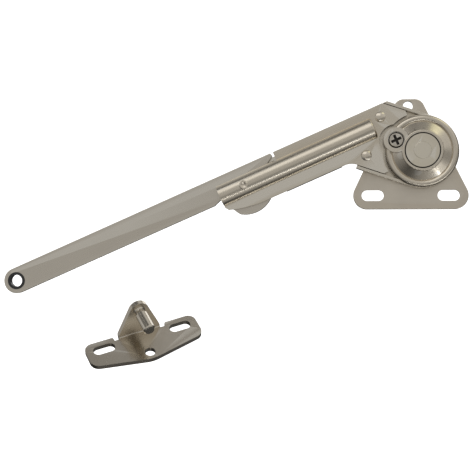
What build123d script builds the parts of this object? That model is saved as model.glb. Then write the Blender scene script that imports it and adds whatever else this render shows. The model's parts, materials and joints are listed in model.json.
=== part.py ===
from build123d import *
import math
import os

# Folding flap stay: a base plate screwed to a cabinet side, an arm housing that swings on it with an
# adjustable friction brake, a flat bar that folds at the elbow against a sprung plunger, and the loose
# bracket that is screwed to the flap. Millimetres throughout.
#
# Frame: +Z up, the mounting face is the XZ plane, and everything stands off it towards -Y.
# The origin is the main pivot axis on the mounting face. "Depth" is the distance from that face.

# ---- driving dimensions: the layout of the linkage ----
arm_angle = 23.7  # slope of the arm, falling away from the pivot towards -X
elbow_reach = 74.1  # elbow to main pivot, along the arm
elbow_rise = 17.2  # elbow to main pivot, square to the arm
bar_reach = 108.0  # elbow to the hole at the bar's end, along the arm
bar_offset = 2.8  # bar's centre line above the elbow

# ---- sheet and clearances ----
plate_thick = 2.0
sheet = 1.2  # arm housing and its cover
bar_thick = 2.5
face_gap = 0.05  # between faces that turn on each other
fit_gap = 0.05  # radial, between a journal and its bearing
side_gap = 0.3  # between moving pieces that never touch
seam = 0.3  # between the cover's edge and the housing's walls

# ---- base plate ----
slot_spacing = 32.0
slot_length = 9.4
slot_width = 4.6
slot_centre_x = -4.5
slot_z = -18.3
plate_margin = 5.9  # metal round the slots' outer ends
top_hole_x = -5.6
top_hole_z = 19.7
top_hole_r = 2.1
tab_round = 4.1
tab_half_width = 2.4
tab_margin = 0.9  # metal above the top hole
tab_shift = 0.5  # the tab is not quite centred on its hole
plate_edge_round = 0.35

# ---- pivot and brake ----
spindle_r = 4.0
spindle_head_r = 5.0
spindle_tip_r = 3.65
spindle_proud = 0.05  # of the button's face
spindle_tip_round = 0.25
washer_r = 9.0
washer_thick = 0.8
bearing_wall = 1.15
friction_bore_r = 5.0
friction_thick = 0.8
friction_side_gap = 1.2  # between the friction discs and the housing's wall
rotor_inset = 0.4  # rotor's edge inside the friction discs'
rotor_thick = 1.2
pressure_thick = 1.0
disc_spring_r = 7.4
disc_spring_thick = 0.6
disc_spring_rise = 0.6
ring_r = 6.4
ring_thick = 0.8

# ---- arm housing ----
housing_r = 15.4  # outside of the round end
throat_angle = 161.3  # direction in which its two straight walls run
throat_length = 23.9
wall_drop = 0.35  # walls stop this much behind the cover's face
strap_top = 6.6
strap_bottom = -8.0
strap_end_r = 6.5
strap_stop = 9.6  # the strap ends this far short of the pivot, along the arm
strap_straight = 14.0  # its sides run straight from this far past the elbow

# ---- arm cover ----
cover_top = 8.1
cover_bottom = -9.5
cover_left = -11.4
flange_start = 16.7  # the upper flange begins here, clear of the bar's head
tip_reach = 12.0  # how far along the throat walls the two tips stop
dome_seam = 1.2  # between the dome's rim and the cover's hollow edge
boss_seam = 1.8
cover_corner_z = -5.4  # its left corner below the channel
relief_start = 4.0  # a hollow in the lower edge, clear of the plunger's nose
relief_rise = 0.85
relief_middle = -3.4
relief_end = (-10.4, -6.8)
underarm_round = 7.0
cover_corner_round = 0.6
lip_thick = 1.2
lip_gap = 0.2  # between the lips and the housing's back
lower_lip_start = 15.4
upper_lip_stop = 11.0  # short of the pivot, along the arm
lower_lip_stop = 4.0  # short of the underarm corner
channel_r = 4.6
channel_gap = 2.62  # between the dome's seam and the channel's nearest corner
channel_end_round = 1.0

# ---- dome cover ----
rim_inset = 0.2  # the dome's rim inside the housing's round end
rim_rise = 2.5
rim_skirt = 1.5  # straight part of the rim's side
bead_lean = 0.25  # the bead's top lies this much outside its middle
valley_inset = 2.8  # from the rim to the valley behind the bead
valley_rise = 1.95
shoulder_reach = 0.7  # the crown's rounded shoulder, above a straight slope
shoulder_drop = 0.5
shoulder_bulge = 0.16
crown_r = 8.0
crown_rise = 5.0
dome_wall = 1.0
collar_step = 0.4
valley_step = 0.8
button_r = 7.3
button_gap = 0.2
button_thick = 1.6
button_proud = 0.15
button_edge_round = 0.35

# ---- adjusting screw ----
screw_angle = 158.0  # its direction from the pivot
screw_inset = 0.65  # its axis inside the dome's valley
boss_r = 5.2
boss_hole_r = 3.5
boss_drop = 0.25  # the boss's top below the dome's
boss_round = 0.7
boss_lift = 1.0  # between the boss's foot and the pressure plate
screw_seat_gap = 0.1
screw_tip_bevel = 0.3
screw_head_bevel = 0.5
screw_head_r = 3.2
screw_r = 1.5
screw_head_thick = 2.0
recess_length = 4.4
recess_width = 1.1
recess_depth = 1.3
nut_thick = 1.4

# ---- rivets ----
rivet_r = 1.5
rivet_head_r = 2.25
rivet_head_thick = 0.75
rivet_tail_thick = 0.4
rivet_places = [(-17.4, 14.5), (-23.2, -1.7)]
rivet_spacer_r = 2.6
elbow_head_rim = 1.5  # the elbow rivet's head, beyond its shank
elbow_head_thick = 0.9
elbow_head_bevel = 0.3
elbow_dimple_rim = 0.7
elbow_dimple_depth = 0.7
elbow_tip_bevel = 0.25
elbow_tip_proud = 0.2  # of the channel's crown

# ---- elbow ----
spacer_wall = 1.0
spacer_side_gap = 0.5  # between the spacer and the channel's inside
elbow_bush_wall = 1.15
cam_r = 12.4  # round head of the bar, which the plunger bears on
cam_gap = 0.2

# ---- bar and its end bush ----
bar_width = 11.0
end_bore_r = 2.6
end_bush_wall = 0.8
end_flange_rim = 0.35  # the bush's flange beyond its hole
bar_step = 1.1  # the bar's lower edge steps up by this much beside its round head
step_length = 3.0
head_left = -9.0  # the head's flattened side
head_toe = (-8.7, -7.2)
cam_start = -5.6
cam_start_round = 2.0
head_end = 15.4
head_nib = 0.4
head_nib_drop = 1.4
head_neck_z = 4.6
head_neck_x = 0.2
head_root = 3.0

# ---- plunger and spring ----
plunger_nose = 4.0
plunger_nose_round = 0.8
plunger_stem = 17.0
stem_gap = 0.4  # between the stem and the coil
spring_side_gap = 0.5  # between the coil and the channel's inside
spring_wire_r = 0.55
spring_turns = 12
seat_length = 4.4

# ---- door bracket ----
bracket_centre = (-118.0, -19.0, -75.8)  # middle of the bend, on the plate's upper face
bracket_long = (0.866, 0.4311, 0.2535)  # direction of the plate's long side
bracket_up = (0.1128, -0.6622, 0.7408)  # direction of the ear
bracket_thick = 2.0
bracket_half_length = 24.6
bracket_wing_y = 1.2
bracket_side_y = -11.0
bracket_nose_y = -15.9
bracket_slot_x = 16.9
bracket_slot_y = -3.5
bracket_hole_y = -12.2
bracket_hole_r = 2.2
bracket_end_round = 4.0  # where the nose's slopes meet the plate's ends
bracket_wing_round = 3.4
nose_half = 2.5
nose_sag = 0.25
notch_y = -0.8  # relief cut either side of the ear's foot
notch_inner = 2.2
notch_outer = 2.4
notch_round = 0.8
bend_inner_r = 0.5
bend_margin = 0.1  # the outer bend's radius is this much under the sheet's thickness
ear_half_base = 9.1
ear_round = 4.0
ear_foot = 1.0  # straight stretch above the bend, before the ear tapers
pin_height = 12.5
pin_r = 2.5
pin_neck_r = 2.1
pin_neck = 1.6
pin_length = 12.0
pin_collar = 0.5
pin_step = 0.4  # length of the slopes into and out of the neck
pin_tip_bevel = 0.5
pin_head_bevel = 0.4
pin_tail_r = 1.8
pin_head_r = 2.7
pin_head_thick = 0.8

# ---- radii, each built on the one that it fits ----
rim_r = housing_r - rim_inset
valley_r = rim_r - valley_inset
friction_r = housing_r - sheet - friction_side_gap
rotor_r = friction_r - rotor_inset
channel_bore_r = channel_r - sheet
spacer_r = channel_bore_r - spacer_side_gap
elbow_rivet_r = spacer_r - spacer_wall
elbow_head_r = elbow_rivet_r + elbow_head_rim
plunger_r = channel_bore_r - side_gap
spring_r = channel_bore_r - spring_side_gap - spring_wire_r
plunger_stem_r = spring_r - spring_wire_r - stem_gap
channel_stop = math.sqrt((rim_r + dome_seam + channel_gap) ** 2 - (elbow_rise - channel_r) ** 2)
channel_end = elbow_reach - channel_stop
screw_reach = valley_r - screw_inset
screw_x = screw_reach * math.cos(math.radians(screw_angle))
screw_z = screw_reach * math.sin(math.radians(screw_angle))

# ---- depths, each built on the one behind it ----
tray_back = plate_thick + washer_thick + face_gap
tray_front = tray_back + sheet
bar_back = tray_front + side_gap
bar_front = bar_back + bar_thick
cover_back = bar_front + side_gap
cover_front = cover_back + sheet
channel_depth = cover_back + sheet / 2
crown_depth = channel_depth + channel_r
wall_top = cover_front - wall_drop

rotor_back = tray_front + friction_thick + face_gap
front_disc_back = rotor_back + rotor_thick + face_gap
pressure_back = front_disc_back + friction_thick
pressure_front = pressure_back + pressure_thick
disc_spring_front = pressure_front + disc_spring_thick + disc_spring_rise
ring_back = disc_spring_front + face_gap
dome_front = wall_top + crown_rise
button_front = dome_front + button_proud
button_back = button_front - button_thick
spindle_front = button_front + spindle_proud

boss_back = pressure_front + boss_lift
screw_tip = pressure_front + face_gap
screw_head_back = boss_back + nut_thick + screw_seat_gap
screw_head_front = screw_head_back + screw_head_thick

# ---- directions and places ----
slope = math.radians(arm_angle)
arm_along = Vector(math.cos(slope), 0, math.sin(slope))
arm_square = Vector(-math.sin(slope), 0, math.cos(slope))
elbow = arm_square * elbow_rise - arm_along * elbow_reach
pivot_axis = Axis((0, 0, 0), (0, -1, 0))


def pivot_plane(depth):
    """Faces the viewer, with local x along +X, local y along +Z and its origin on the main pivot."""
    return Plane(origin=(0, -depth, 0), x_dir=(1, 0, 0), z_dir=(0, -1, 0))


def screw_plane(depth):
    """Faces the viewer, with its origin on the adjusting screw and local x along the arm."""
    return Plane(origin=(screw_x, -depth, screw_z), x_dir=arm_along, z_dir=(0, -1, 0))


def arm_plane(depth):
    """Faces the viewer, with local x along the arm, local y square to it and its origin on the elbow."""
    return Plane(origin=elbow - Vector(0, depth, 0), x_dir=arm_along, z_dir=(0, -1, 0))


def across_arm(reach, depth):
    """Looks along the arm at a distance from the elbow: local x is square to the arm, local y is depth."""
    origin = elbow + arm_along * reach - Vector(0, depth, 0)
    return Plane(origin=origin, x_dir=arm_square, z_dir=arm_along)


def turning_plane(centre):
    """Holds a turned piece's half section: local x is its radius, local y its depth."""
    return Plane(origin=centre, x_dir=(1, 0, 0), z_dir=(0, 0, -1))


def ring(plane, outer, inner, thick):
    """A flat washer standing on a plane."""
    with BuildPart() as piece:
        with BuildSketch(plane):
            Circle(outer)
            Circle(inner, mode=Mode.SUBTRACT)
        extrude(amount=thick)
    return piece


def turned(plane, axis, profile):
    """A piece turned about an axis from a half section."""
    with BuildPart() as piece:
        with BuildSketch(plane):
            with BuildLine():
                Polyline(profile, close=True)
            make_face()
        revolve(axis=axis)
    return piece


# ================= fixed to the cabinet =================

slot_ends = slot_spacing / 2 + (slot_length - slot_width) / 2
with BuildPart() as base_plate:
    with BuildSketch(pivot_plane(0)):
        with Locations((slot_centre_x - slot_ends, slot_z), (slot_centre_x + slot_ends, slot_z)):
            Circle(plate_margin)
        tab_z = top_hole_z + top_hole_r + tab_margin - tab_round
        tab_x = top_hole_x + tab_shift
        with Locations((tab_x - tab_half_width, tab_z), (tab_x + tab_half_width, tab_z)):
            Circle(tab_round)
        make_hull()
    extrude(amount=plate_thick)
    with BuildSketch(pivot_plane(0)):
        with Locations((slot_centre_x, slot_z)):
            with GridLocations(slot_spacing, 0, 2, 1):
                SlotOverall(slot_length, slot_width)
        with Locations((top_hole_x, top_hole_z)):
            Circle(top_hole_r)
        Circle(spindle_r)
    extrude(amount=plate_thick, mode=Mode.SUBTRACT)
    fillet(base_plate.faces().sort_by(Axis.Y)[0].outer_wire().edges(), radius=plate_edge_round)
    back_edges = base_plate.faces().sort_by(Axis.Y)[-1].edges().filter_by(GeomType.CIRCLE)
    countersink = back_edges.filter_by(lambda edge: abs(edge.radius - spindle_r) < 0.001)
    chamfer(countersink, length=spindle_head_r - spindle_r)
base_plate.part.label = "base_plate"

thrust_washer = ring(pivot_plane(plate_thick), washer_r, spindle_r, washer_thick)
thrust_washer.part.label = "thrust_washer"

head_taper = spindle_head_r - spindle_r
pivot_spindle = turned(
    turning_plane((0, 0, 0)),
    pivot_axis,
    [
        (0, 0),
        (spindle_head_r, 0),
        (spindle_r, head_taper),
        (spindle_r, button_back),
        (spindle_tip_r, button_back),
        (spindle_tip_r, spindle_front - spindle_tip_round / 2),
        (spindle_tip_r - spindle_tip_round, spindle_front),
        (0, spindle_front),
    ],
)
pivot_spindle.part.label = "pivot_spindle"

rotor_disc = ring(pivot_plane(rotor_back), rotor_r, spindle_r, rotor_thick)
rotor_disc.part.label = "rotor_disc"

retaining_ring = ring(pivot_plane(ring_back), ring_r, spindle_r, ring_thick)
retaining_ring.part.label = "retaining_ring"

with BuildPart() as spindle_cap:
    with BuildSketch(pivot_plane(button_back)):
        Circle(button_r)
        Circle(spindle_tip_r, mode=Mode.SUBTRACT)
    extrude(amount=button_thick)
    fillet(spindle_cap.faces().sort_by(Axis.Y)[0].outer_wire().edges(), radius=button_edge_round)
spindle_cap.part.label = "spindle_cap"

# ================= the arm housing =================

with BuildPart() as back_housing:
    with BuildSketch(pivot_plane(tray_back)):
        Circle(housing_r)
        Rectangle(throat_length, 2 * housing_r, rotation=throat_angle, align=(Align.MIN, Align.CENTER))
    extrude(amount=wall_top - tray_back)
    with BuildSketch(pivot_plane(tray_front)):
        Circle(housing_r - sheet)
        inner_width = 2 * (housing_r - sheet)
        Rectangle(throat_length + 2, inner_width, rotation=throat_angle, align=(Align.MIN, Align.CENTER))
    extrude(amount=wall_top - tray_front, mode=Mode.SUBTRACT)
    with BuildSketch(arm_plane(tray_back)):
        Circle(strap_end_r)
        strap_end = elbow_reach - strap_stop
        strap_middle = (strap_top + strap_bottom) / 2
        with Locations((strap_end, strap_middle)):
            strap_length = strap_end - strap_straight
            Rectangle(strap_length, strap_top - strap_bottom, align=(Align.MAX, Align.CENTER))
        make_hull()
    extrude(amount=sheet)
    with BuildSketch(arm_plane(tray_back)):
        with Locations((elbow_reach, cover_top)):
            Rectangle(4 * housing_r, 2 * housing_r, align=(Align.CENTER, Align.MIN))
    extrude(amount=wall_top - tray_back, mode=Mode.SUBTRACT)
    with BuildSketch(pivot_plane(tray_back)):
        Circle(spindle_r + fit_gap + bearing_wall)
        with Locations(*rivet_places):
            Circle(rivet_r)
    extrude(amount=sheet, mode=Mode.SUBTRACT)
    with BuildSketch(arm_plane(tray_back)):
        Circle(elbow_rivet_r)
    extrude(amount=sheet, mode=Mode.SUBTRACT)
back_housing.part.label = "back_housing"

bearing_bush = ring(
    pivot_plane(tray_back), spindle_r + fit_gap + bearing_wall, spindle_r + fit_gap, sheet
)
bearing_bush.part.label = "bearing_bush"

# Corners of the cover's outline in the arm's plane. The throat's walls run along `throat`, and the
# cover's two straight edges beside them stand `cover_half` either side of the pivot.
throat_turn = math.radians(throat_angle - arm_angle)
throat = Vector(math.cos(throat_turn), math.sin(throat_turn))
throat_side = Vector(math.sin(throat_turn), -math.cos(throat_turn))
pivot_place = Vector(elbow_reach, -elbow_rise)
cover_half = housing_r - sheet - seam
upper_edge = pivot_place + throat_side * cover_half
lower_edge = pivot_place - throat_side * cover_half
apex = upper_edge + throat * ((cover_top - upper_edge.Y) / throat.Y)
underarm = lower_edge + throat * ((cover_bottom - lower_edge.Y) / throat.Y)
upper_tip = upper_edge + throat * tip_reach
lower_tip = lower_edge + throat * tip_reach
screw_offset = Vector(screw_x, 0, screw_z)
screw_place = pivot_place + Vector(screw_offset.dot(arm_along), screw_offset.dot(arm_square))

with BuildPart() as arm_cover:
    with BuildSketch(arm_plane(cover_back)) as cover_face:
        with BuildLine():
            relief_top = (relief_middle, cover_bottom + relief_rise)
            relief = ThreePointArc((relief_start, cover_bottom), relief_top, relief_end)
            Polyline(
                relief @ 1,
                (cover_left, cover_corner_z),
                (cover_left, channel_r),
                (flange_start, channel_r),
                (flange_start, cover_top),
                (apex.X, apex.Y),
                (upper_tip.X, upper_tip.Y),
                (pivot_place.X, pivot_place.Y),
                (lower_tip.X, lower_tip.Y),
                (underarm.X, underarm.Y),
                relief @ 0,
            )
        make_face()
        underarm_corner = cover_face.vertices().sort_by_distance((underarm.X, underarm.Y))[0]
        fillet(underarm_corner, radius=underarm_round)
        with Locations((pivot_place.X, pivot_place.Y)):
            Circle(rim_r + dome_seam, mode=Mode.SUBTRACT)
        with Locations((screw_place.X, screw_place.Y)):
            Circle(boss_r + boss_seam, mode=Mode.SUBTRACT)
        for corner in (upper_tip, lower_tip, apex):
            sharp = cover_face.vertices().sort_by_distance((corner.X, corner.Y))[0]
            fillet(sharp, radius=cover_corner_round)
    extrude(amount=sheet)
    # lips that close the two sides of the arm
    lip_depth = cover_back - tray_back - lip_gap
    with BuildSketch(arm_plane(tray_back + lip_gap)):
        with Locations((flange_start, cover_top)):
            upper_lip = elbow_reach - upper_lip_stop - flange_start
            Rectangle(upper_lip, lip_thick, align=(Align.MIN, Align.MAX))
        with Locations((lower_lip_start, cover_bottom)):
            lower_lip = underarm.X - lower_lip_stop - lower_lip_start
            Rectangle(lower_lip, lip_thick, align=(Align.MIN, Align.MIN))
    extrude(amount=lip_depth)
    # the half-round channel that holds the spring, closed at the pivot end
    with BuildSketch(across_arm(cover_left, channel_depth)):
        Circle(channel_r)
        Rectangle(2 * channel_r, channel_r, align=(Align.CENTER, Align.MAX), mode=Mode.SUBTRACT)
    extrude(amount=channel_end - cover_left)
    channel_arcs = arm_cover.edges().filter_by(GeomType.CIRCLE).filter_by(
        lambda edge: abs(edge.radius - channel_r) < 0.001
    )
    fillet(channel_arcs.sort_by(Axis(elbow, arm_along))[-1], radius=channel_end_round)
    with BuildSketch(across_arm(cover_left, channel_depth)):
        Circle(channel_bore_r)
    extrude(amount=channel_end - sheet - cover_left, mode=Mode.SUBTRACT)
    with BuildSketch(arm_plane(cover_back)):
        Circle(elbow_rivet_r)
    extrude(amount=crown_depth, mode=Mode.SUBTRACT)
    with BuildSketch(pivot_plane(cover_back)):
        with Locations(*rivet_places):
            Circle(rivet_r)
    extrude(amount=sheet, mode=Mode.SUBTRACT)
arm_cover.part.label = "arm_cover"

with BuildPart() as dome_cover:
    with BuildSketch(turning_plane((0, 0, 0))):
        with BuildLine():
            bead_r = (rim_r + valley_r) / 2
            valley_back = wall_top + valley_rise - dome_wall
            skirt = Line((rim_r, wall_top), (rim_r, wall_top + rim_skirt))
            bead = ThreePointArc(
                skirt @ 1,
                (bead_r + bead_lean, wall_top + rim_rise),
                (valley_r, wall_top + valley_rise),
            )
            shoulder_foot = (crown_r + shoulder_reach, dome_front - shoulder_drop)
            cone = Line(bead @ 1, shoulder_foot)
            shoulder_middle = (
                crown_r + shoulder_reach / 2 + shoulder_bulge,
                dome_front - shoulder_drop / 2 + shoulder_bulge,
            )
            shoulder = ThreePointArc(cone @ 1, shoulder_middle, (crown_r, dome_front))
            crown = Line(shoulder @ 1, (button_r + button_gap, dome_front))
            collar_back = dome_front - 2 * dome_wall
            collar = Line(crown @ 1, (button_r + button_gap, collar_back))
            under_collar = Line(collar @ 1, (crown_r + collar_step, collar_back))
            under_cone = Line(under_collar @ 1, (valley_r - valley_step, valley_back))
            under_valley = Line(under_cone @ 1, (rim_r - dome_wall, valley_back))
            inner_skirt = Line(under_valley @ 1, (rim_r - dome_wall, wall_top))
            Line(inner_skirt @ 1, skirt @ 0)
        make_face()
    revolve(axis=pivot_axis)
    with BuildSketch(screw_plane(boss_back)):
        Circle(boss_r)
    extrude(amount=dome_front - boss_drop - boss_back)
    boss_top = dome_cover.edges().filter_by(
        lambda edge: edge.geom_type == GeomType.CIRCLE and abs(edge.radius - boss_r) < 0.001
    )
    fillet(boss_top.sort_by(Axis.Y)[0], radius=boss_round)
    with BuildSketch(screw_plane(boss_back)):
        Circle(boss_hole_r)
    extrude(amount=dome_front, mode=Mode.SUBTRACT)
    with BuildSketch(pivot_plane(boss_back)):
        Circle(button_r + button_gap)
    extrude(amount=dome_front, mode=Mode.SUBTRACT)
dome_cover.part.label = "dome_cover"

friction_disc_rear = ring(pivot_plane(tray_front), friction_r, friction_bore_r, friction_thick)
friction_disc_rear.part.label = "friction_disc_rear"

friction_disc_front = ring(pivot_plane(front_disc_back), friction_r, friction_bore_r, friction_thick)
friction_disc_front.part.label = "friction_disc_front"

pressure_plate = ring(pivot_plane(pressure_back), friction_r, spindle_r + side_gap, pressure_thick)
pressure_plate.part.label = "pressure_plate"

disc_spring = turned(
    turning_plane((0, 0, 0)),
    pivot_axis,
    [
        (disc_spring_r, pressure_front),
        (disc_spring_r, pressure_front + disc_spring_thick),
        (friction_bore_r, disc_spring_front),
        (friction_bore_r, disc_spring_front - disc_spring_thick),
    ],
)
disc_spring.part.label = "disc_spring"

screw_nut = ring(screw_plane(boss_back), boss_hole_r, screw_r + fit_gap, nut_thick)
screw_nut.part.label = "screw_nut"

# The rivets' heads are low domes: part of a ball of this radius.
head_ball_r = (rivet_head_r**2 + rivet_head_thick**2) / (2 * rivet_head_thick)
head_middle = math.sqrt(head_ball_r**2 - rivet_head_r**2 / 4) - head_ball_r + rivet_head_thick
with BuildPart() as cover_rivets:
    for place_x, place_z in rivet_places:
        with BuildSketch(turning_plane((place_x, 0, place_z))):
            with BuildLine():
                tail = Polyline(
                    (0, tray_back - rivet_tail_thick),
                    (rivet_head_r, tray_back - rivet_tail_thick),
                    (rivet_head_r, tray_back),
                    (rivet_r, tray_back),
                    (rivet_r, cover_front),
                    (rivet_head_r, cover_front),
                )
                head = ThreePointArc(
                    tail @ 1,
                    (rivet_head_r / 2, cover_front + head_middle),
                    (0, cover_front + rivet_head_thick),
                )
                Line(head @ 1, tail @ 0)
            make_face()
        revolve(axis=Axis((place_x, 0, place_z), (0, -1, 0)))
cover_rivets.part.label = "cover_rivets"

with BuildPart() as rivet_spacers:
    with BuildSketch(pivot_plane(tray_front)):
        with Locations(*rivet_places):
            Circle(rivet_spacer_r)
            Circle(rivet_r, mode=Mode.SUBTRACT)
    extrude(amount=cover_back - tray_front)
rivet_spacers.part.label = "rivet_spacers"

# ================= the elbow =================

elbow_axis = Axis(elbow, (0, -1, 0))
rivet_end = crown_depth + elbow_tip_proud
elbow_rivet = turned(
    turning_plane(elbow),
    elbow_axis,
    [
        (0, tray_back - elbow_head_thick),
        (elbow_head_r - elbow_head_bevel, tray_back - elbow_head_thick),
        (elbow_head_r, tray_back - elbow_head_thick + elbow_head_bevel),
        (elbow_head_r, tray_back),
        (elbow_rivet_r, tray_back),
        (elbow_rivet_r, rivet_end - elbow_tip_bevel),
        (elbow_rivet_r - elbow_tip_bevel, rivet_end),
        (elbow_rivet_r - elbow_dimple_rim, rivet_end),
        (0, rivet_end - elbow_dimple_depth),
    ],
)
elbow_rivet.part.label = "elbow_rivet"

spacer_front = channel_depth + math.sqrt(channel_bore_r**2 - spacer_r**2)
elbow_spacer = ring(arm_plane(tray_front), spacer_r, elbow_rivet_r, spacer_front - tray_front)
elbow_spacer.part.label = "elbow_spacer"

elbow_bush_r = spacer_r + fit_gap + elbow_bush_wall
elbow_bush_length = cover_back - tray_front - 2 * face_gap
elbow_bush = ring(
    arm_plane(tray_front + face_gap), elbow_bush_r, spacer_r + fit_gap, elbow_bush_length
)
elbow_bush.part.label = "elbow_bush"

# ================= the flat bar =================

bar_top = bar_offset + bar_width / 2
bar_bottom = bar_offset - bar_width / 2
end_hole_r = end_bore_r + end_bush_wall
end_flange_r = end_hole_r + end_flange_rim
with BuildPart() as flat_bar:
    with BuildSketch(arm_plane(bar_back)):
        Circle(cam_r)
        Polygon(
            (head_left, bar_bottom + bar_step),
            head_toe,
            (cam_start, -cam_r),
            (cam_r, -cam_r),
            (cam_r, bar_top),
            (head_left, bar_top),
            align=None,
            mode=Mode.INTERSECT,
        )
        Polygon(
            (-bar_reach, bar_top),
            (head_end, bar_top),
            (head_end + head_nib, bar_top - head_nib_drop),
            (cam_r - head_neck_x, head_neck_z),
            (cam_r - head_root, 0),
            (head_left, bar_bottom + bar_step),
            (-cam_r, bar_bottom + bar_step),
            (-cam_r - step_length, bar_bottom),
            (-bar_reach, bar_bottom),
            align=None,
        )
        with Locations((-bar_reach, bar_offset)):
            Circle(bar_width / 2)
            Circle(end_hole_r, mode=Mode.SUBTRACT)
        Circle(elbow_bush_r, mode=Mode.SUBTRACT)
    extrude(amount=bar_thick)
    cam_corner = elbow + arm_along * cam_start - arm_square * cam_r - Vector(0, bar_back, 0)
    fillet(flat_bar.edges().filter_by(Axis.Y).sort_by_distance(cam_corner)[0], radius=cam_start_round)
flat_bar.part.label = "flat_bar"

end_axis = Axis(elbow - arm_along * bar_reach + arm_square * bar_offset, (0, -1, 0))
end_bush = turned(
    turning_plane(end_axis.position),
    end_axis,
    [
        (end_bore_r, tray_front),
        (end_flange_r, tray_front),
        (end_flange_r, bar_back),
        (end_hole_r, bar_back),
        (end_hole_r, bar_front),
        (end_flange_r, bar_front),
        (end_flange_r, cover_back),
        (end_bore_r, cover_back),
    ],
)
end_bush.part.label = "end_bush"

# ================= plunger and spring =================

nose_start = cam_r + cam_gap
nose_end = nose_start + plunger_nose
seat_start = channel_end - sheet - seat_length
with BuildPart() as plunger:
    with BuildSketch(across_arm(nose_start, channel_depth)):
        Circle(plunger_r)
    extrude(amount=plunger_nose)
    nose_edges = plunger.edges().filter_by(GeomType.CIRCLE)
    fillet(nose_edges.sort_by(Axis(elbow, arm_along))[0], radius=plunger_nose_round)
    with BuildSketch(across_arm(nose_end, channel_depth)):
        Circle(plunger_stem_r)
    extrude(amount=plunger_stem)
plunger.part.label = "plunger"

with BuildPart() as spring_seat:
    with BuildSketch(across_arm(seat_start, channel_depth)):
        Circle(channel_bore_r)
    extrude(amount=seat_length)
spring_seat.part.label = "spring_seat"

# The coil lies between the plunger's shoulder and the seat, its end turns half a wire clear of each.
coil_start = nose_end + spring_wire_r + face_gap
coil_length = seat_start - spring_wire_r - face_gap - coil_start
with BuildPart() as plunger_spring:
    with BuildLine():
        coil = Helix(
            pitch=coil_length / spring_turns,
            height=coil_length,
            radius=spring_r,
            center=across_arm(coil_start, channel_depth).origin,
            direction=arm_along,
        )
    with BuildSketch(Plane(origin=coil @ 0, z_dir=coil % 0)):
        Circle(spring_wire_r)
    sweep(path=coil)
plunger_spring.part.label = "plunger_spring"

# ================= adjusting screw =================

with BuildPart() as adjusting_screw:
    with BuildSketch(turning_plane((screw_x, 0, screw_z))):
        with BuildLine():
            Polyline(
                (0, screw_tip),
                (screw_r - screw_tip_bevel, screw_tip),
                (screw_r, screw_tip + screw_tip_bevel),
                (screw_r, screw_head_back),
                (screw_head_r, screw_head_back),
                (screw_head_r, screw_head_front - screw_head_bevel),
                (screw_head_r - screw_head_bevel, screw_head_front),
                (0, screw_head_front),
                close=True,
            )
        make_face()
    revolve(axis=Axis((screw_x, 0, screw_z), (0, -1, 0)))
    recess_floor = screw_head_front - recess_depth
    with BuildSketch(screw_plane(recess_floor)):
        Rectangle(recess_length, recess_width)
        Rectangle(recess_width, recess_length)
    extrude(amount=recess_depth, mode=Mode.SUBTRACT)
adjusting_screw.part.label = "adjusting_screw"

# ================= door bracket =================

bracket_top = Plane(origin=bracket_centre, x_dir=bracket_long, z_dir=bracket_up)
bracket_front = bracket_top.y_dir * -1


def bracket_point(along, forward, height):
    """A point given from the middle of the bend: along the plate, towards its nose, and up the ear."""
    return bracket_top.from_local_coords(Vector(along, -forward, height))


with BuildPart() as bracket_plate:
    with BuildSketch(bracket_top.offset(-bracket_thick)) as plate_face:
        with BuildLine():
            nose_side = bracket_nose_y + nose_sag
            nose = ThreePointArc((-nose_half, nose_side), (0, bracket_nose_y), (nose_half, nose_side))
            right_side = [
                (bracket_half_length, bracket_side_y),
                (bracket_half_length, bracket_wing_y),
                (ear_half_base + notch_outer, bracket_wing_y),
                (ear_half_base + notch_inner, notch_y),
                (ear_half_base, notch_y),
                (ear_half_base, bracket_thick),
            ]
            left_side = [(-x, y) for x, y in reversed(right_side)]
            Polyline(nose @ 1, *right_side, *left_side, nose @ 0)
        make_face()
        for side in (-1, 1):
            corners = plate_face.vertices()
            wing = corners.sort_by_distance((side * bracket_half_length, bracket_wing_y))[0]
            fillet(wing, radius=bracket_wing_round)
            end = (side * bracket_half_length, bracket_side_y)
            fillet(plate_face.vertices().sort_by_distance(end)[0], radius=bracket_end_round)
            notch = (side * (ear_half_base + notch_outer), bracket_wing_y)
            fillet(plate_face.vertices().sort_by_distance(notch)[0], radius=notch_round)
    extrude(amount=bracket_thick)
    ear_plane = Plane(origin=bracket_top.origin, x_dir=bracket_top.x_dir, z_dir=bracket_front)
    with BuildSketch(ear_plane.offset(-bracket_thick)):
        with Locations((0, pin_height)):
            Circle(ear_round)
        with Locations((0, ear_foot)):
            foot_height = ear_foot + bracket_thick
            Rectangle(2 * ear_half_base, foot_height, align=(Align.CENTER, Align.MAX))
        make_hull()
    extrude(amount=bracket_thick)
    inner_bend = bracket_plate.edges().sort_by_distance(bracket_point(0, 0, 0))[0]
    fillet(inner_bend, radius=bend_inner_r)
    under_bend = bracket_point(0, -bracket_thick, -bracket_thick)
    outer_bend = bracket_plate.edges().sort_by_distance(under_bend)[0]
    fillet(outer_bend, radius=bracket_thick - bend_margin)
    with BuildSketch(bracket_top.offset(-bracket_thick)):
        with Locations((-bracket_slot_x, bracket_slot_y), (bracket_slot_x, bracket_slot_y)):
            SlotOverall(slot_length, slot_width)
        with Locations((0, bracket_hole_y)):
            Circle(bracket_hole_r)
    extrude(amount=bracket_thick, mode=Mode.SUBTRACT)
    with BuildSketch(ear_plane.offset(-bracket_thick)):
        with Locations((0, pin_height)):
            Circle(pin_tail_r)
    extrude(amount=bracket_thick, mode=Mode.SUBTRACT)
bracket_plate.part.label = "bracket_plate"

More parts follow.
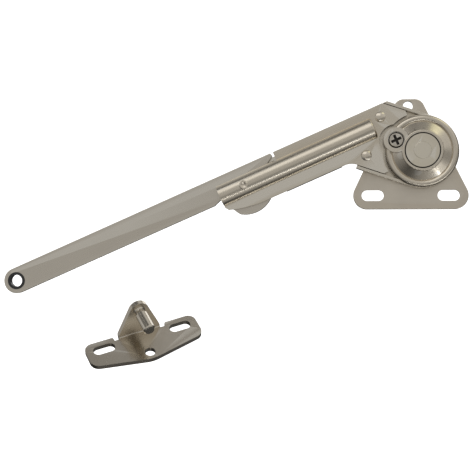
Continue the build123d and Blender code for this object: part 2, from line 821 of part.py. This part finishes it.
pin_root = bracket_point(0, 0, pin_height)
pin_tail = -bracket_thick - pin_head_thick
neck_end = pin_collar + pin_step + pin_neck
bracket_pin = turned(
    Plane(origin=pin_root, x_dir=bracket_top.x_dir, z_dir=bracket_top.z_dir * -1),
    Axis(pin_root, bracket_front),
    [
        (0, pin_tail),
        (pin_head_r - pin_head_bevel, pin_tail),
        (pin_head_r, pin_tail + pin_head_bevel),
        (pin_head_r, -bracket_thick),
        (pin_tail_r, -bracket_thick),
        (pin_tail_r, 0),
        (pin_r, 0),
        (pin_r, pin_collar),
        (pin_neck_r, pin_collar + pin_step),
        (pin_neck_r, neck_end),
        (pin_r, neck_end + pin_step),
        (pin_r, pin_length - pin_tip_bevel),
        (pin_r - pin_tip_bevel, pin_length),
        (0, pin_length),
    ],
)
bracket_pin.part.label = "bracket_pin"

# ================= files =================

os.makedirs("parts", exist_ok=True)
pieces = [
    base_plate,
    thrust_washer,
    pivot_spindle,
    rotor_disc,
    retaining_ring,
    spindle_cap,
    back_housing,
    bearing_bush,
    arm_cover,
    dome_cover,
    friction_disc_rear,
    friction_disc_front,
    pressure_plate,
    disc_spring,
    screw_nut,
    cover_rivets,
    rivet_spacers,
    elbow_rivet,
    elbow_spacer,
    elbow_bush,
    flat_bar,
    end_bush,
    plunger,
    plunger_spring,
    spring_seat,
    adjusting_screw,
    bracket_plate,
    bracket_pin,
]
for piece in pieces:
    export_step(piece.part, f"parts/{piece.part.label}.step")
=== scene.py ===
import json
import math

import bmesh
import bpy
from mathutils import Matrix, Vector


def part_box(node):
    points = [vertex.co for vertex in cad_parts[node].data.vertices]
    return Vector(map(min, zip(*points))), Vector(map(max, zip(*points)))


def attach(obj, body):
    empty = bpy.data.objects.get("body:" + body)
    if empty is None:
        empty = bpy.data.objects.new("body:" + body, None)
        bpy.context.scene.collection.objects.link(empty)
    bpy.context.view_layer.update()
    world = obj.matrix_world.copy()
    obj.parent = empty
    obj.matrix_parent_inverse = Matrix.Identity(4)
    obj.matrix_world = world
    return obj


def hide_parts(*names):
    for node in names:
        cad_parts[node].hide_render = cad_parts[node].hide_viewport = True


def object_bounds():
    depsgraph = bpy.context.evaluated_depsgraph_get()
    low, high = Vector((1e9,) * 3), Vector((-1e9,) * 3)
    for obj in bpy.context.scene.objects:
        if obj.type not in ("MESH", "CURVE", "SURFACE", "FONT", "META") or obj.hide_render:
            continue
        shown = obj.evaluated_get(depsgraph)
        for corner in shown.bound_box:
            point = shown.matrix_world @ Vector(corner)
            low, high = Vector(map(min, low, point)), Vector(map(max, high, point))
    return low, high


# Looks for the folding flap stay: satin nickel sheet, a spun dome over the brake, a cross-head
# adjusting screw, turned rivets, a black bush and the loose pin bracket. Metres, in the CAD frame.

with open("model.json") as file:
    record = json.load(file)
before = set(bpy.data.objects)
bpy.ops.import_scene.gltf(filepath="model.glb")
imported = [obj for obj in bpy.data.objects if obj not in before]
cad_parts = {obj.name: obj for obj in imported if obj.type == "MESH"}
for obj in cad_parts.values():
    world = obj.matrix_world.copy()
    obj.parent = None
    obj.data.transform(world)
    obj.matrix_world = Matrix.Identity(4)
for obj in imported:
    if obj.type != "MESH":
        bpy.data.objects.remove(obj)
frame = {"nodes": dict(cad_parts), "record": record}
cad_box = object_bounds()

MM = 0.001
ARM_SLOPE = math.radians(23.7)  # the arm falls away from the pivot towards -X
ARM_ALONG = Vector((math.cos(ARM_SLOPE), 0, math.sin(ARM_SLOPE)))
ARM_SQUARE = Vector((-math.sin(ARM_SLOPE), 0, math.cos(ARM_SLOPE)))
SMOOTH_BELOW = math.radians(33)  # edges that turn by less are shaded smooth
FLAT_WITHIN = math.radians(0.03)  # faces that turn by less are one flat face
HARD_EDGE = math.radians(28)  # edges that turn by more are eased
LARGE_FACE_WEIGHT = 60  # above 50, large faces lead the shading at a shared corner
WELD = 0.002 * MM  # corners nearer than this are one
FRONT = Vector((0, -1, 0))

# noise waves in a metre
HAIR_RUN = 45  # rolled sheet, along the strip
HAIR_COUNT = 1600  # rolled sheet, across the strip
RING_COUNT = 1500  # turned metal, outwards from the axis
RING_DEPTH = 700  # turned metal, along the axis
TUMBLED_COUNT = 900
CLOUD_COUNT = 90
SPECK_COUNT = 2600
STAIN_COUNT = 160

RUBBED_EDGE = (0.80, 0.77, 0.70, 1)
# painted shade: the near black that gaps and recesses are darkened to
PAINTED_SHADE_DARK = (0.022, 0.020, 0.018, 1)

scene = bpy.context.scene
scene.view_settings.view_transform = "Standard"
body_of_node = {}
for body_name, members in frame["record"]["behaviour"]["bodies"].items():
    for member in members:
        body_of_node[member] = body_name


# ================= shader maths =================


class Value:
    """A number that varies over a surface. Arithmetic on it adds Math nodes."""

    def __init__(self, finish, socket):
        self.finish = finish
        self.socket = socket

    def math(self, operation, *others, clamp=False):
        settings = {"operation": operation, "use_clamp": clamp}
        terms = dict(enumerate([self, *others]))
        return self.finish.value("ShaderNodeMath", settings, terms)

    def __add__(self, other):
        return self.math("ADD", other)

    def __radd__(self, other):
        return self.math("ADD", other)

    def __sub__(self, other):
        return self.math("SUBTRACT", other)

    def __rsub__(self, other):
        return self.finish.value("ShaderNodeMath", {"operation": "SUBTRACT"}, {0: other, 1: self})

    def __mul__(self, other):
        return self.math("MULTIPLY", other)

    def __rmul__(self, other):
        return self.math("MULTIPLY", other)

    def __truediv__(self, other):
        return self.math("DIVIDE", other)

    def within(self):
        """Held between 0 and 1."""
        return self.math("ADD", 0.0, clamp=True)

    def above(self, low, high):
        """0 below low, 1 above high, and straight between them."""
        return ((self - low) / (high - low)).within()


class Finish:
    """The node tree of one material, or of the studio's light."""

    def __init__(self, tree):
        self.tree = tree
        tree.nodes.clear()

    def add(self, kind, settings=None, sockets=None):
        """A node: its settings first, then its sockets' values or links. "stops" fills a ramp with greys."""
        node = self.tree.nodes.new(kind)
        for name, setting in (settings or {}).items():
            if name == "stops":
                ramp = node.color_ramp
                while len(ramp.elements) < len(setting):
                    ramp.elements.new(1.0)
                for element, (place, grey) in zip(ramp.elements, setting):
                    element.position = place
                    element.color = (grey, grey, grey, 1)
            else:
                setattr(node, name, setting)
        for name, given in (sockets or {}).items():
            socket = node.inputs[name]
            if isinstance(given, Value):
                self.tree.links.new(given.socket, socket)
            elif isinstance(given, bpy.types.NodeSocket):
                self.tree.links.new(given, socket)
            else:
                socket.default_value = given
        return node

    def value(self, kind, settings, sockets, output=0):
        """The same, as a value to reckon with."""
        return Value(self, self.add(kind, settings, sockets).outputs[output])

    def place(self):
        """Where a point of the surface lies in the piece's own frame."""
        return self.add("ShaderNodeTexCoord").outputs["Object"]

    def along(self, point, direction):
        """How far a point lies along a direction."""
        settings = {"operation": "DOT_PRODUCT"}
        return self.value("ShaderNodeVectorMath", settings, {0: point, 1: direction}, "Value")

    def vector(self, x, y, z):
        return self.add("ShaderNodeCombineXYZ", {}, {"X": x, "Y": y, "Z": z}).outputs[0]

    def noise(self, point, scale, detail=3.0, roughness=0.55):
        sockets = {"Vector": point, "Scale": scale, "Detail": detail, "Roughness": roughness}
        return self.value("ShaderNodeTexNoise", {}, sockets)

    def mixed(self, share, first, second):
        """One colour turning into another."""
        sockets = {"Factor": share, 6: first, 7: second}
        return self.add("ShaderNodeMix", {"data_type": "RGBA"}, sockets).outputs[2]

    def bump(self, height, depth, strength=1.0):
        sockets = {"Height": height, "Distance": depth, "Strength": strength}
        return self.add("ShaderNodeBump", {}, sockets).outputs["Normal"]


def material(name, build):
    """A material whose one shader is set up by build(finish), which returns its sockets."""
    made = bpy.data.materials.new(name)
    made.use_nodes = True
    finish = Finish(made.node_tree)
    shader = finish.add("ShaderNodeBsdfPrincipled", {}, build(finish))
    finish.add("ShaderNodeOutputMaterial", {}, {"Surface": shader.outputs[0]})
    return made


# ================= finishes =================


def straight_grain(finish, direction, across):
    """Rolled sheet: a point stretched out along the strip, so that noise on it runs in long hairs."""
    point = finish.place()
    depth = finish.along(point, (0, 1, 0))
    length = finish.along(point, direction)
    width = finish.along(point, across)
    return finish.vector(length * HAIR_RUN, width * HAIR_COUNT, depth * HAIR_COUNT)


def turned_grain(finish, centre):
    """Turned metal: the hairs run round the pivot."""
    point = finish.place()
    side = finish.along(point, (1, 0, 0)) - centre.x
    rise = finish.along(point, (0, 0, 1)) - centre.z
    depth = finish.along(point, (0, 1, 0))
    radius = (side * side + rise * rise).math("SQRT")
    turn = rise.math("ARCTAN2", side)
    hair = radius * RING_COUNT + turn.math("SINE") * 0.35
    return finish.vector(hair, depth * RING_DEPTH, turn.math("COSINE") * 0.8)


def nickel(name, grain, bright, dull, rough, hair, hair_depth, painted_shade):
    """Plated steel: hairs of the rolling or turning, soft clouds, fine scratches and rubbed edges.
    The last argument, given finish and point, gives how far painted shade darkens a place in a gap or
    recess."""

    def build(finish):
        hairs = finish.noise(grain(finish), 1.0, 4.0, 0.65)
        point = finish.place()
        clouds = finish.noise(point, CLOUD_COUNT, 3.0, 0.5)
        specks = finish.noise(point, SPECK_COUNT, 2.0, 0.6)
        rubbed = finish.add("ShaderNodeNewGeometry").outputs["Pointiness"]
        edge = Value(finish, rubbed).above(0.52, 0.60)
        scratch = hairs.above(0.66, 0.72) * clouds.above(0.45, 0.62)
        dimmed = ((hairs - 0.5) * hair + (clouds - 0.5) * 0.7 + 0.42).within()
        tone = finish.mixed(dimmed, (*bright, 1), (*dull, 1))
        base = finish.mixed(edge * 0.6, tone, RUBBED_EDGE)
        roughness = rough + (clouds - 0.5) * 0.16 + (hairs - 0.5) * 0.14 - edge * 0.08 + scratch * 0.06
        # painted shade: the base colour darkens in gaps and recesses where shade falls, and these places are
        # made rougher
        if painted_shade:
            dark_share = painted_shade(finish, point)
            base = finish.mixed(dark_share, base, PAINTED_SHADE_DARK)
            roughness = roughness + dark_share * 0.3
        height = hairs * 0.75 + specks * 0.25
        return {
            "Base Color": base,
            "Metallic": 1.0,
            "Roughness": roughness.within(),
            "Normal": finish.bump(height, hair_depth * MM),
        }

    return material(name, build)


def sheet_grain(finish):
    return straight_grain(finish, ARM_ALONG, ARM_SQUARE)


def plate_grain(finish):
    return straight_grain(finish, Vector((1, 0, 0)), Vector((0, 0, 1)))


def pivot_grain(finish):
    return turned_grain(finish, Vector((0, 0, 0)))


def screw_grain(finish):
    return turned_grain(finish, screw_place)


def tumbled_grain(finish):
    """Barrel-polished: no direction, only a fine mottle."""
    point = finish.place()
    sockets = {0: point, "Scale": TUMBLED_COUNT}
    return finish.add("ShaderNodeVectorMath", {"operation": "SCALE"}, sockets).outputs[0]


screw_low, screw_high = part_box("adjusting_screw")
screw_place = (screw_low + screw_high) / 2

button_low, button_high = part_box("spindle_cap")
BUTTON_R = (button_high.x - button_low.x) / 2
SCREW_HEAD_R = (screw_high.x - screw_low.x) / 2
# painted shade darkens from one of these depths to the other, inwards from a rim or down from the head's
# face
SEAM_INNER = 0.42 * MM
SEAM_OUTER = 0.22 * MM
HEAD_RIM_INNER = 0.45 * MM
HEAD_RIM_OUTER = 0.2 * MM
RECESS_START = 0.12 * MM
RECESS_FULL = 0.5 * MM


def around(finish, point, centre):
    """How far a point lies from an axis that runs square to the mounting face."""
    side = finish.along(point, (1, 0, 0)) - centre.x
    rise = finish.along(point, (0, 0, 1)) - centre.z
    return (side * side + rise * rise).math("SQRT")


def button_gap_shade(finish, point):
    """Painted shade in the gap round the button: the button darkens towards its rim."""
    out = around(finish, point, (button_low + button_high) / 2)
    return out.above(BUTTON_R - SEAM_INNER, BUTTON_R - SEAM_OUTER)


def screw_recess_shade(finish, point):
    """Painted shade in the cross recess, and in the gap round the head."""
    out = around(finish, point, screw_place)
    rim = out.above(SCREW_HEAD_R - HEAD_RIM_INNER, SCREW_HEAD_R - HEAD_RIM_OUTER)
    depth = finish.along(point, (0, 1, 0)) - screw_low.y
    recess = depth.above(RECESS_START, RECESS_FULL) * 0.94
    return recess.math("MAXIMUM", rim)


# name: grain, bright colour, dull colour, roughness, share of hair, depth of hair in mm, painted shade in
# gaps and recesses
PLATINGS = {
    "sheet_nickel": (sheet_grain, (0.66, 0.60, 0.495), (0.54, 0.49, 0.41), 0.27, 0.3, 0.0015, None),
    "bar_nickel": (sheet_grain, (0.56, 0.515, 0.44), (0.49, 0.45, 0.39), 0.30, 0.3, 0.0015, None),
    "plate_nickel": (plate_grain, (0.66, 0.60, 0.50), (0.54, 0.49, 0.42), 0.34, 0.3, 0.0015, None),
    "dome_nickel": (pivot_grain, (0.68, 0.62, 0.52), (0.55, 0.50, 0.42), 0.24, 0.6, 0.002, None),
    "button_nickel": (pivot_grain, (0.70, 0.65, 0.54), (0.62, 0.57, 0.47), 0.34, 0.3, 0.001, button_gap_shade),
    "rivet_nickel": (tumbled_grain, (0.70, 0.64, 0.54), (0.56, 0.51, 0.43), 0.24, 0.3, 0.001, None),
    "screw_zinc": (screw_grain, (0.60, 0.56, 0.49), (0.40, 0.37, 0.32), 0.26, 0.4, 0.002, screw_recess_shade),
    "bracket_nickel": (tumbled_grain, (0.60, 0.545, 0.46), (0.52, 0.47, 0.395), 0.24, 0.2, 0.001, None),
    "pin_nickel": (tumbled_grain, (0.68, 0.63, 0.54), (0.58, 0.53, 0.45), 0.20, 0.2, 0.001, None),
    "inner_steel": (pivot_grain, (0.56, 0.55, 0.53), (0.42, 0.41, 0.40), 0.28, 0.5, 0.006, None),
    "spring_wire": (tumbled_grain, (0.34, 0.33, 0.32), (0.20, 0.20, 0.20), 0.30, 0.5, 0.006, None),
}
looks = {name: nickel(name, *values) for name, values in PLATINGS.items()}


def moulding(name, light, dark, rough, grit):
    """Moulded plastic or pressed lining: a fine grit over slow changes of tone."""

    def build(finish):
        point = finish.place()
        grain = finish.noise(point, grit, 3.0, 0.6)
        clouds = finish.noise(point, STAIN_COUNT, 2.0, 0.5)
        return {
            "Base Color": finish.mixed((grain * 0.4 + clouds * 0.6).within(), (*dark, 1), (*light, 1)),
            "Roughness": (rough + (clouds - 0.5) * 0.2 + (grain - 0.5) * 0.15).within(),
            "Normal": finish.bump(grain, 0.02 * MM),
        }

    return material(name, build)


# name: light colour, dark colour, roughness, fineness of grit
MOULDINGS = {
    "black_acetal": ((0.030, 0.030, 0.032), (0.008, 0.008, 0.010), 0.38, 2200.0),
    "natural_acetal": ((0.74, 0.72, 0.66), (0.62, 0.60, 0.54), 0.42, 1800.0),
    "brake_lining": ((0.34, 0.27, 0.20), (0.16, 0.12, 0.09), 0.75, 3200.0),
}
looks.update({name: moulding(name, *values) for name, values in MOULDINGS.items()})


# ================= pieces =================


def welded(node):
    """A CAD node's mesh with its seams closed and its flat faces whole."""
    mesh = frame["nodes"][node].data.copy()
    worked = bmesh.new()
    worked.from_mesh(mesh)
    bmesh.ops.remove_doubles(worked, verts=worked.verts, dist=WELD)
    bmesh.ops.dissolve_limit(worked, angle_limit=FLAT_WITHIN, verts=worked.verts, edges=worked.edges)
    return mesh, worked


def finished(mesh, worked, name, node, look):
    """Puts the worked mesh on its body, in place of the CAD node."""
    worked.to_mesh(mesh)
    worked.free()
    for layer in ("custom_normal", "sharp_face", "sharp_edge"):
        if layer in mesh.attributes:
            mesh.attributes.remove(mesh.attributes[layer])
    mesh.name = name
    mesh.materials.clear()
    mesh.materials.append(look)
    mesh.shade_smooth()
    mesh.set_sharp_from_angle(angle=SMOOTH_BELOW)
    piece = bpy.data.objects.new(name, mesh)
    scene.collection.objects.link(piece)
    evened = piece.modifiers.new("evened shading", "WEIGHTED_NORMAL")
    evened.keep_sharp = True
    evened.weight = LARGE_FACE_WEIGHT
    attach(piece, body_of_node[node])
    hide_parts(node)


def eased(node, name, look, round_r):
    """A CAD node with its hard edges eased, as tumbling and plating leave them."""
    mesh, worked = welded(node)
    edges = []
    for edge in worked.edges:
        if len(edge.link_faces) == 2 and edge.calc_face_angle(0) > HARD_EDGE:
            edges.append(edge)
    bmesh.ops.bevel(
        worked,
        geom=edges,
        offset=round_r * MM,
        segments=2,
        profile=0.5,
        affect="EDGES",
        clamp_overlap=True,
    )
    finished(mesh, worked, name, node, look)


# CAD node: the piece's name, its slot, its look, and how far its edges are eased in mm
EASED = {
    "base_plate": ("mounting_plate", "nickel_steel", "plate_nickel", 0.15),
    "back_housing": ("housing_tray", "nickel_steel", "sheet_nickel", 0.18),
    "arm_cover": ("channel_cover", "nickel_steel", "sheet_nickel", 0.14),
    "dome_cover": ("spun_dome", "turned_nickel", "dome_nickel", 0.30),
    "flat_bar": ("swing_bar", "nickel_steel", "bar_nickel", 0.18),
    "spindle_cap": ("pivot_button", "bright_steel", "button_nickel", 0.10),
    "pivot_spindle": ("pivot_post", "bright_steel", "button_nickel", 0.06),
    "cover_rivets": ("domed_rivets", "bright_steel", "rivet_nickel", 0.05),
    "elbow_rivet": ("elbow_stud", "bright_steel", "rivet_nickel", 0.06),
    "end_bush": ("bar_end_bush", "black_plastic", "black_acetal", 0.08),
    "adjusting_screw": ("cross_head_screw", "screw_steel", "screw_zinc", 0.06),
    "bracket_plate": ("flap_bracket_plate", "bracket_nickel", "bracket_nickel", 0.14),
    "bracket_pin": ("flap_bracket_pin", "bracket_nickel", "pin_nickel", 0.10),
}
for node, (name, slot, look, round_r) in EASED.items():
    eased(node, name, looks[look], round_r)

# What lies inside keeps its CAD shape.
INNER = {
    "natural_acetal": ("thrust_washer", "bearing_bush", "elbow_bush", "plunger"),
    "inner_steel": (
        "rotor_disc",
        "retaining_ring",
        "pressure_plate",
        "screw_nut",
        "rivet_spacers",
        "elbow_spacer",
    ),
    "spring_wire": ("disc_spring", "plunger_spring"),
    "black_acetal": ("spring_seat",),
    "brake_lining": ("friction_disc_rear", "friction_disc_front"),
}
for look, nodes in INNER.items():
    for node in nodes:
        slots = frame["nodes"][node].data.materials
        slots.clear()
        slots.append(looks[look])


# ================= studio =================

TENT_R = 3.0
FLOOR_DROP = 0.05
object_low, object_high = cad_box
middle = (object_low + object_high) / 2


def emitting(name, strength):
    """Plain white that glows for the camera alone."""

    def build(finish):
        return {
            "Base Color": (0.9, 0.9, 0.9, 1),
            "Roughness": 0.9,
            "Emission Color": (1, 1, 1, 1),
            "Emission Strength": strength,
        }

    return material(name, build)


def seen_only(piece, name):
    """A studio surface that shows behind the object and neither lights it nor shows in it."""
    piece.name = name
    piece.visible_diffuse = False
    piece.visible_glossy = False
    piece.visible_transmission = False
    piece.visible_shadow = False


tent_mesh = bpy.data.meshes.new("studio_tent")
tent = bmesh.new()
bmesh.ops.create_uvsphere(tent, u_segments=48, v_segments=24, radius=TENT_R)
tent.to_mesh(tent_mesh)
tent.free()
tent_mesh.materials.append(emitting("tent_white", 1.0))
tent_piece = bpy.data.objects.new("studio_tent", tent_mesh)
scene.collection.objects.link(tent_piece)
seen_only(tent_piece, "studio_tent")

floor_mesh = bpy.data.meshes.new("studio_floor")
floor = bmesh.new()
bmesh.ops.create_circle(floor, cap_ends=True, segments=96, radius=TENT_R * 0.8)
floor.to_mesh(floor_mesh)
floor.free()
floor_mesh.materials.append(emitting("floor_white", 0.9))
floor_piece = bpy.data.objects.new("studio_floor", floor_mesh)
scene.collection.objects.link(floor_piece)
floor_piece.location = (middle.x, middle.y, object_low.z - FLOOR_DROP)
seen_only(floor_piece, "studio_floor")


def softbox(name, direction, distance, width, height, radiance, tint):
    """A rectangular lamp that faces the object from a direction."""
    lamp = bpy.data.lights.new(name, "AREA")
    lamp.shape = "RECTANGLE"
    lamp.size = width
    lamp.size_y = height
    lamp.energy = radiance * math.pi * width * height
    lamp.color = tint
    holder = bpy.data.objects.new(name, lamp)
    scene.collection.objects.link(holder)
    holder.location = middle + direction.normalized() * distance
    towards = middle - holder.location
    holder.rotation_mode = "QUATERNION"
    holder.rotation_quaternion = towards.to_track_quat("-Z", "Y")


def leaning(angle, side):
    """A direction turned from the front towards one side."""
    lean = math.radians(angle)
    return FRONT * math.cos(lean) + side * math.sin(lean)


WHITE = (1, 1, 1)
WARM = (1.0, 0.98, 0.55)
BELOW_ARM = ARM_SQUARE * -1
UPPER_RIGHT = Vector((0.6, 0, 0.8))
LOWER_RIGHT = Vector((0.8, 0, -0.6))

# name, direction, distance, width, height, radiance, tint
softbox("key_softbox", leaning(48, ARM_SQUARE), 0.6, 0.6, 0.34, 0.66, WHITE)
softbox("low_strip", leaning(50, BELOW_ARM), 0.7, 0.8, 0.05, 3.2, WHITE)
softbox("warm_side_card", leaning(76, UPPER_RIGHT), 0.6, 0.3, 0.2, 0.60, WARM)
softbox("right_fill", leaning(70, LOWER_RIGHT), 0.7, 0.2, 0.3, 0.40, WHITE)
softbox("back_fill", Vector((0.3, 1, 0.5)), 0.9, 0.6, 0.6, 0.8, WHITE)

# The room is grey. It is darker in a corner low on the left, in a band below the front, far below
# and far above the arm, and level with the object overhead and behind. The right side is lighter.
LOW_LEFT = Vector((-0.616, 0, -0.788))
sky = bpy.data.worlds.new("studio_air")
scene.world = sky
sky.use_nodes = True
air = Finish(sky.node_tree)
direction = air.add("ShaderNodeTexCoord").outputs["Generated"]
ahead = air.along(direction, FRONT)
above_arm = air.along(direction, ARM_SQUARE)
rightward = air.along(direction, ARM_ALONG)
corner = air.along(direction, LOW_LEFT).above(0.50, 0.95) * 0.84
below = above_arm * -1
band = below.above(0.16, 0.36) * (1 - below.above(0.60, 0.75)) * 0.50
low = below.above(0.80, 0.92) * 0.35
high = above_arm.above(0.90, 0.98) * 0.40
behind = (0.16 - ahead).above(0.0, 0.25) * (0.35 - above_arm).above(0.0, 0.35) * 0.85
sideways = (0.34 - ahead).above(0.0, 0.12) * (ahead + 0.02).above(0.0, 0.10)
overhead = sideways * above_arm.above(0.5, 0.8) * 0.80
level = (1 - corner) * (1 - band) * (1 - low) * (1 - high) * (1 - behind) * (1 - overhead)
glow = level * (0.52 + rightward.above(0.2, 0.9) * 0.16) + 0.02
shade = air.mixed(glow.within(), (0, 0, 0, 1), (1.0, 0.985, 0.96, 1))
light = air.add("ShaderNodeBackground", {}, {"Color": shade, "Strength": 1.0})
air.add("ShaderNodeOutputWorld", {}, {"Surface": light.outputs[0]})

# ================= camera =================

camera = bpy.data.objects.new("camera", bpy.data.cameras.new("camera"))
scene.collection.objects.link(camera)
camera.location = (-0.02878, -0.486, -0.0406)
camera.rotation_mode = "QUATERNION"
camera.rotation_quaternion = Vector((-0.1048, 1, 0.0115)).to_track_quat("-Z", "Y")
camera.data.sensor_width = 36
camera.data.lens = 86.4
camera.data.dof.use_dof = False
scene.camera = camera
